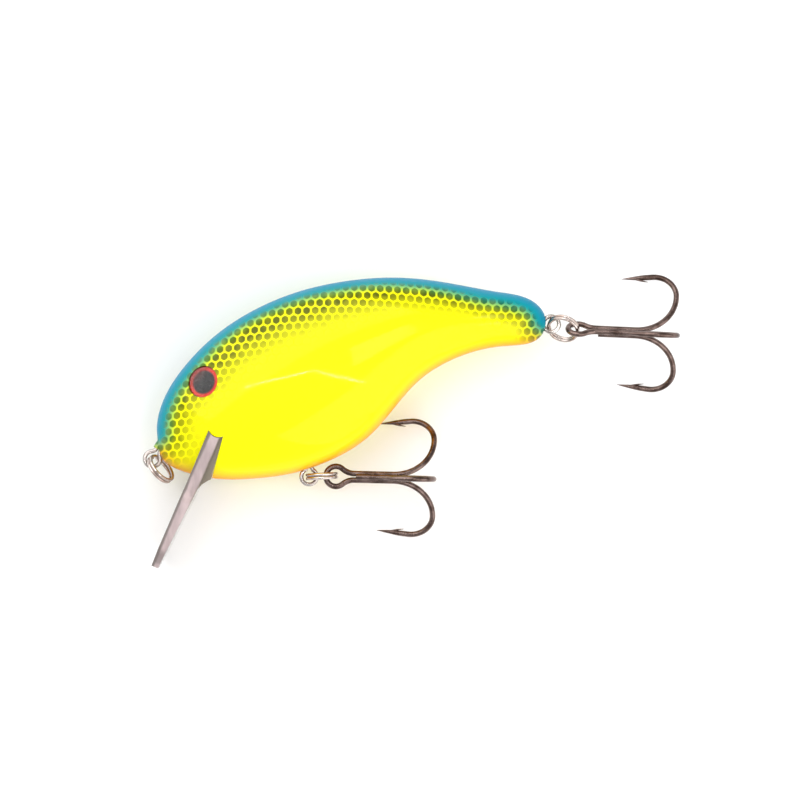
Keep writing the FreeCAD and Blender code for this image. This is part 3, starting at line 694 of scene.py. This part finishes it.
class Material:
    """A Principled material and short calls that add and join nodes."""

    def __init__(self, name, **sockets):
        self.material = bpy.data.materials.new(name)
        self.material.use_nodes = True
        self.tree = self.material.node_tree
        self.shader = self.tree.nodes["Principled BSDF"]
        for key, value in sockets.items():
            self.shader.inputs[key.replace("_", " ").title().replace("Ior", "IOR")].default_value = value

    def node(self, kind, **values):
        made = self.tree.nodes.new(kind)
        for key, value in values.items():
            setattr(made, key, value)
        return made

    def feed(self, socket, value):
        if isinstance(value, bpy.types.NodeSocket):
            self.tree.links.new(value, socket)
        else:
            socket.default_value = value

    def math(self, operation, a, b=0.0, c=0.0, clamp=False):
        made = self.node("ShaderNodeMath", operation=operation, use_clamp=clamp)
        for socket, value in zip(made.inputs, (a, b, c)):
            self.feed(socket, value)
        return made.outputs[0]

    def attribute(self, name):
        return self.node("ShaderNodeAttribute", attribute_name=name).outputs["Fac"]

    def position(self):
        return self.node("ShaderNodeTexCoord").outputs["Object"]

    def noise(self, scale, detail=3.0, roughness=0.5, vector=None):
        made = self.node("ShaderNodeTexNoise")
        made.inputs["Scale"].default_value = scale
        made.inputs["Detail"].default_value = detail
        made.inputs["Roughness"].default_value = roughness
        self.feed(made.inputs["Vector"], vector or self.position())
        return made.outputs["Fac"]

    def stretch(self, x, y, z):
        made = self.node("ShaderNodeMapping")
        self.feed(made.inputs["Vector"], self.position())
        made.inputs["Scale"].default_value = (x, y, z)
        return made.outputs[0]

    def spread(self, value, low, high, to_low=0.0, to_high=1.0, smooth=True):
        made = self.node("ShaderNodeMapRange", interpolation_type="SMOOTHSTEP" if smooth else "LINEAR")
        for socket, number in zip(made.inputs, (value, low, high, to_low, to_high)):
            self.feed(socket, number)
        return made.outputs[0]

    def ramp(self, value, stops, interpolation="LINEAR"):
        made = self.node("ShaderNodeValToRGB")
        made.color_ramp.interpolation = interpolation
        elements = made.color_ramp.elements
        while len(elements) < len(stops):
            elements.new(0.5)
        for element, (place, colour) in zip(elements, stops):
            element.position = place
            element.color = colour
        self.feed(made.inputs[0], value)
        return made.outputs[0]

    def mix(self, share, a, b, blend="MIX"):
        made = self.node("ShaderNodeMix", data_type="RGBA", blend_type=blend)
        self.feed(made.inputs[0], share)
        self.feed(made.inputs[6], a)
        self.feed(made.inputs[7], b)
        return made.outputs[2]

    def colour(self, value):
        self.feed(self.shader.inputs["Base Color"], value)

    def roughness(self, value):
        self.feed(self.shader.inputs["Roughness"], value)

    def bump(self, height, distance, strength=1.0, coat=False):
        made = self.node("ShaderNodeBump")
        made.inputs["Strength"].default_value = strength
        made.inputs["Distance"].default_value = distance
        self.feed(made.inputs["Height"], height)
        self.feed(self.shader.inputs["Coat Normal" if coat else "Normal"], made.outputs[0])


def net_cell(m):
    """1 inside a scale of the hexagonal net and 0 on its lines."""
    x, y = m.attribute("net_x"), m.attribute("net_y")
    nearest = None
    for shift in (0.0, 0.5):
        across = m.math("WRAP", m.math("ADD", x, shift), 0.5, -0.5)
        up = m.math("WRAP", m.math("ADD", y, shift * 2), 1.0, -1.0)
        across = m.math("ABSOLUTE", across)
        up = m.math("MULTIPLY", m.math("ABSOLUTE", up), 0.866)
        slant = m.math("ADD", m.math("MULTIPLY", across, 0.5), m.math("MULTIPLY", up, 0.866))
        hexagon = m.math("MAXIMUM", across, slant)
        square = m.math("ADD", m.math("MULTIPLY", across, across), m.math("MULTIPLY", up, up))
        round_cell = m.math("SQRT", square)
        size = m.math("ADD", m.math("MULTIPLY", hexagon, 1.1), m.math("MULTIPLY", round_cell, 0.9))
        nearest = size if nearest is None else m.math("MINIMUM", nearest, size)
    return m.spread(nearest, 0.87, 0.70)


def shell_paint():
    """Chartreuse body, blue-green back, scale net sprayed through, orange belly edge."""
    m = Material("shell_paint", roughness=0.5, coat_weight=0.24, coat_roughness=0.035, coat_ior=1.45)
    m.shader.inputs["Specular IOR Level"].default_value = 0.08
    down, low = m.attribute("down"), m.attribute("low")
    drift = m.math("MULTIPLY", m.math("SUBTRACT", m.noise(160, 2.0), 0.5), 0.4)
    down = m.math("ADD", down, drift)

    yellow = linear(255, 250, 0)
    glow = m.mix(m.spread(m.noise(90, 3.0), 0.3, 0.7), yellow, linear(252, 246, 0))
    belly = m.ramp(m.math("DIVIDE", low, 3.0), [
        (0.0, linear(252, 150, 0)), (0.06, linear(253, 178, 0)), (0.17, linear(254, 200, 0)),
        (0.30, linear(255, 218, 0)), (0.48, linear(255, 234, 0)), (0.78, linear(255, 246, 0)),
        (1.0, yellow)])
    base = m.mix(m.spread(low, 2.0, 3.0), belly, glow)

    cell = net_cell(m)
    strength = m.attribute("net_strength")
    strength = m.math("MULTIPLY", strength, m.spread(m.noise(700, 1.0), 0.2, 0.8, 0.9, 1.15))
    shade = m.mix(m.attribute("tailward"), linear(92, 98, 0), linear(30, 38, 2))
    thicker = m.spread(m.attribute("tailward"), 0.0, 1.0, 0.22, 0.6)
    haze = m.math("MULTIPLY", strength, thicker, clamp=True)
    base = m.mix(haze, base, linear(184, 184, 0))
    spray = m.math("MULTIPLY", m.math("MULTIPLY", strength, cell), 0.95, clamp=True)
    base = m.mix(spray, base, shade)

    back = m.ramp(m.math("DIVIDE", down, 4.0), [
        (0.0, linear(0, 128, 164)), (0.14, linear(0, 138, 160)), (0.26, linear(0, 146, 148)),
        (0.38, linear(4, 164, 126)), (0.52, linear(60, 190, 90)), (0.75, linear(160, 215, 40)),
        (1.0, linear(240, 244, 0))])
    cover = m.spread(down, 0.95, 2.9, 1.0, 0.0)
    through = m.math("MULTIPLY", cell, m.spread(down, 0.7, 1.5, 0.0, 0.6))
    cover = m.math("SUBTRACT", cover, m.math("MULTIPLY", through, cover), clamp=True)
    base = m.mix(cover, base, back)
    m.colour(base)
    m.roughness(m.spread(m.noise(1400, 2.0), 0.3, 0.7, 0.44, 0.56))
    m.bump(m.noise(420, 2.0), 0.00004, 0.08, coat=True)
    return m.material


def raw_plastic():
    """Moulded plastic inside the shells."""
    m = Material("raw_plastic", roughness=0.45)
    m.colour(m.mix(m.noise(300), linear(232, 230, 220), linear(218, 216, 204)))
    m.roughness(m.spread(m.noise(900), 0.3, 0.7, 0.40, 0.55))
    m.bump(m.noise(1500, 2.0), 0.00003, 0.3)
    return m.material


def plated(name, light, dark, low, high, grain):
    """Plated wire: drawn grain, faint stains and rubbed spots."""
    m = Material(name, metallic=1.0)
    stain = m.spread(m.noise(520, 4.0, 0.6), 0.35, 0.68)
    m.colour(m.mix(stain, light, dark))
    m.roughness(m.spread(m.noise(2600, 3.0, 0.6), 0.3, 0.7, low, high))
    m.bump(m.noise(grain, 3.0, 0.6), 0.00002, 0.25)
    return m.material


def clear_plastic():
    """Polycarbonate faces of the lip."""
    m = Material("clear_plastic", roughness=0.06, ior=1.585, transmission_weight=1.0)
    m.colour(m.mix(m.noise(200), linear(238, 234, 230), linear(228, 222, 218)))
    m.roughness(m.spread(m.noise(900, 3.0), 0.35, 0.7, 0.03, 0.12))
    return m.material


def frosted_edge_and_painted_shadow():
    """Satin moulded edge of the lip, with painted shadow as a dark line along its front where it meets
    the shell, painted shade on the gusset behind, and a dark corner at the tip."""
    m = Material("frosted_edge_and_painted_shadow", ior=1.5, transmission_weight=0.12)
    corner, down, through = lip_place()
    places = []
    for direction in (through, down):
        dot = m.node("ShaderNodeVectorMath", operation="DOT_PRODUCT")
        m.feed(dot.inputs[0], m.position())
        dot.inputs[1].default_value = direction / MM
        places.append(m.math("SUBTRACT", dot.outputs["Value"], corner.dot(direction)))
    depth, along = places
    streak = m.noise(500, 3.0, 0.6, m.stretch(1.0, 0.25, 1.0))
    wander = m.math("MULTIPLY", m.math("SUBTRACT", m.noise(260, 2.0), 0.5), 0.5)
    edge = m.mix(m.spread(streak, 0.35, 0.65), linear(198, 178, 178), linear(168, 150, 150))
    band = m.math("ADD", depth, wander)
    # painted shadow: a dark line along the lip's front, in the gap where it meets the shell
    edge = m.mix(m.spread(band, 0.28, 0.62, 0.85, 0.0), edge, linear(96, 88, 82))
    # painted shade: the gusset at the back of the edge, dark as if seen through into shade
    edge = m.mix(m.spread(band, LIP_EDGE - 0.35, LIP_EDGE + 0.1, 0.0, 0.9), edge, linear(116, 106, 86))
    tip = m.math("SUBTRACT", LIP_TIP, along)
    patch = m.math("MULTIPLY", m.spread(tip, 0.5, 1.1), m.spread(tip, 2.2, 3.6, 1.0, 0.0))
    edge = m.mix(m.math("MULTIPLY", patch, 0.65), edge, linear(112, 100, 98))
    m.colour(edge)
    m.roughness(m.spread(m.noise(1500), 0.3, 0.7, 0.34, 0.5))
    m.bump(m.noise(1300, 3.0), 0.00004, 0.35)
    return m.material


def iris_print_and_painted_shadow(node):
    """Red-orange ring round a black pupil, printed on the eye disc, with painted shadow darkening it towards the
    nose and the back.
    """
    m = Material("iris_print_and_painted_shadow_" + node, roughness=0.3)
    low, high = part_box(node)
    middle = (low + high) / 2
    away = m.node("ShaderNodeVectorMath", operation="DISTANCE")
    m.feed(away.inputs[0], m.position())
    away.inputs[1].default_value = middle
    radius = m.math("DIVIDE", away.outputs["Value"], IRIS_DIAMETER / 2 * MM)
    wobble = m.math("MULTIPLY", m.math("SUBTRACT", m.noise(1400, 2.0), 0.5), 0.05)
    radius = m.math("ADD", radius, wobble)
    ring = m.ramp(radius, [
        (0.0, linear(3, 0, 2)), (0.70, linear(6, 0, 0)), (0.77, linear(170, 22, 0)),
        (0.82, linear(240, 40, 0)), (0.96, linear(244, 54, 0)), (1.0, linear(150, 22, 0))])
    # painted shadow: the ring darkens towards the nose and the back, as if the socket's rim shaded it
    lean = m.node("ShaderNodeVectorMath", operation="DOT_PRODUCT")
    m.feed(lean.inputs[0], m.position())
    lean.inputs[1].default_value = Vector((-0.75, 0.66, 0.0)) / MM
    lean = m.math("SUBTRACT", lean.outputs["Value"], (middle / MM).dot(Vector((-0.75, 0.66, 0.0))))
    m.colour(m.mix(m.spread(lean, 0.2, 2.4, 0.0, 0.72), ring, linear(96, 14, 6)))
    m.roughness(m.spread(m.noise(2000), 0.3, 0.7, 0.22, 0.36))
    return m.material


def clear_resin():
    """Clear cap of the eye: lets light straight through and shines by Fresnel."""
    m = Material("clear_resin")
    tree = m.tree
    tree.nodes.remove(m.shader)
    through = m.node("ShaderNodeBsdfTransparent")
    shine = m.node("ShaderNodeBsdfGlossy")
    m.feed(shine.inputs["Roughness"], m.spread(m.noise(1500), 0.3, 0.7, 0.02, 0.06))
    fresnel = m.node("ShaderNodeFresnel")
    fresnel.inputs["IOR"].default_value = 1.22
    blend = m.node("ShaderNodeMixShader")
    m.feed(blend.inputs[0], fresnel.outputs[0])
    m.feed(blend.inputs[1], through.outputs[0])
    m.feed(blend.inputs[2], shine.outputs[0])
    m.feed(tree.nodes["Material Output"].inputs["Surface"], blend.outputs[0])
    return m.material


def cast_metal():
    """Dull cast ballast with pits."""
    m = Material("cast_metal", metallic=1.0)
    m.colour(m.mix(m.noise(600, 4.0), linear(122, 124, 130), linear(88, 90, 96)))
    m.roughness(m.spread(m.noise(1800), 0.3, 0.7, 0.42, 0.62))
    m.bump(m.noise(900, 4.0, 0.6), 0.00008, 0.6)
    return m.material


def floor_surface():
    """Plain pale board under the lure."""
    m = Material("floor_surface")
    m.colour(m.mix(m.noise(8), linear(250, 250, 250), linear(247, 247, 247)))
    m.roughness(m.spread(m.noise(60), 0.3, 0.7, 0.7, 0.85))
    return m.material


# ---- assembly ------------------------------------------------------------------------
def keep_node(node, material):
    """Give a CAD node that stays its finish."""
    for material_slot in frame["nodes"][node].material_slots:
        material_slot.material = material


def build_lure():
    shell_materials = [shell_paint(), raw_plastic()]
    painted_shell("left_shell", 1, shell_materials)
    painted_shell("right_shell", -1, shell_materials)
    clear_lip([clear_plastic(), frosted_edge_and_painted_shadow()])

    black = plated("black_nickel", linear(122, 104, 98), linear(78, 62, 56), 0.16, 0.30, 2400)
    nickel = plated("bright_nickel", linear(214, 202, 196), linear(170, 152, 142), 0.10, 0.24, 2800)
    wire = plated("drawn_wire", linear(206, 200, 196), linear(160, 148, 140), 0.14, 0.28, 3000)
    steel = plated("ball_steel_finish", linear(205, 205, 208), linear(180, 180, 184), 0.08, 0.2, 2000)

    belly = hook_place("belly_treble_swing", *BELLY_HOOK)
    tail = hook_place("tail_treble_swing", *TAIL_HOOK)
    double_hook("belly_double_hook", "belly_treble", belly, black)
    single_hook("belly_single_hook", "belly_treble", belly, black)
    double_hook("tail_double_hook", "tail_treble", tail, black)
    single_hook("tail_single_hook", "tail_treble", tail, black)

    nose_ring = MOUNTS["line_tie_ring"]
    nose_axis = next(m["axis"] for m in RECORD["mounts"] if m["name"] == "line_tie_ring")
    rings = [("nose_split_ring", "nose_ring", nose_ring, nose_axis, nose_ring - MOUNTS["line_tie_eye"])]
    for end in ("belly", "tail"):
        joint = JOINTS[end + "_treble_swing"]
        centre = np.array(joint["pos_m"]) / MM
        out = centre - MOUNTS[end + "_hook_eye"]
        rings.append((end + "_split_ring", end + "_ring", centre, joint["axis"], out))
    for ring in rings:
        split_ring(*ring, nickel)

    resin = clear_resin()
    for side in ("left", "right"):
        keep_node(side + "_eye_disc", iris_print_and_painted_shadow(side + "_eye_disc"))
        eye_dome(side + "_eye_dome", side + "_eye_disc", resin)
    for node in ("line_tie_wire", "belly_hanger_wire", "tail_hanger_wire"):
        keep_node(node, wire)
    ballast = cast_metal()
    for node in ("belly_ballast", "nose_ballast"):
        keep_node(node, ballast)
    for node in ("front_rattle_ball", "middle_rattle_ball", "rear_rattle_ball"):
        keep_node(node, steel)


# ---- stage ---------------------------------------------------------------------------
VIEW_WIDTH = 133.3           # of the picture at the mid-plane
VIEW_CENTRE = (41.25, 9.83)
CAMERA_HEIGHT = 1200.0


def floor():
    """Pale board that the lure lies on."""
    size = 1.5
    level = cad_low.z
    mesh = bpy.data.meshes.new("floor")
    corners = [(-size, -size, level), (size, -size, level), (size, size, level), (-size, size, level)]
    mesh.from_pydata(corners, [], [(0, 1, 2, 3)])
    board = bpy.data.objects.new("floor", mesh)
    COLLECTION.objects.link(board)
    mesh.materials.append(floor_surface())


def camera():
    """Straight down on the left flank, the back up, through a long lens."""
    data = bpy.data.cameras.new("camera")
    data.sensor_width = 36.0
    data.lens = data.sensor_width * CAMERA_HEIGHT / VIEW_WIDTH
    data.clip_start = 0.01
    data.clip_end = 20.0
    made = bpy.data.objects.new("camera", data)
    made.location = (VIEW_CENTRE[0] * MM, VIEW_CENTRE[1] * MM, CAMERA_HEIGHT * MM)
    COLLECTION.objects.link(made)
    bpy.context.scene.camera = made


def softbox(name, place, aim, width, height, power):
    """Rectangular light at a place, facing another."""
    data = bpy.data.lights.new(name, "AREA")
    data.shape = "RECTANGLE"
    data.size = width
    data.size_y = height
    data.energy = power
    lamp = bpy.data.objects.new(name, data)
    lamp.location = place
    lamp.rotation_euler = (Vector(aim) - Vector(place)).to_track_quat("-Z", "Y").to_euler()
    COLLECTION.objects.link(lamp)
    return lamp


def strip(name, start, end, height, width, power):
    """Thin light facing straight down between two places (x, y)."""
    gone = Vector(end) - Vector(start)
    middle = (Vector(start) + Vector(end)) / 2
    below = (middle.x, middle.y, 0.0)
    lamp = softbox(name, (middle.x, middle.y, height), below, gone.length, width, power)
    lamp.rotation_euler = (0.0, 0.0, math.atan2(gone.y, gone.x))


def studio():
    """Even room light with two large softboxes, a bent strip and a small soft patch."""
    world = bpy.data.worlds.new("studio")
    bpy.context.scene.world = world
    world.use_nodes = True
    world.node_tree.nodes["Background"].inputs["Color"].default_value = (1, 1, 1, 1)
    world.node_tree.nodes["Background"].inputs["Strength"].default_value = 0.62
    centre = (0.035, 0.012, 0.0)
    softbox("key", (-0.55, 0.75, 0.95), centre, 1.7, 1.7, 16.0)
    softbox("fill", (0.85, -0.6, 0.8), centre, 1.5, 1.5, 12.0)
    softbox("patch", (0.406, 0.166, 1.4), (0.038, 0.019, 0.0), 0.30, 0.24, 0.8)
    strip("strip_front", (-0.431, 0.145), (0.098, 0.094), 1.4, 0.013, 0.9)
    strip("strip_rear", (0.098, 0.094), (0.616, -0.375), 1.4, 0.013, 0.9)
    bpy.context.scene.view_settings.view_transform = "Standard"


build_lure()
floor()
camera()
studio()
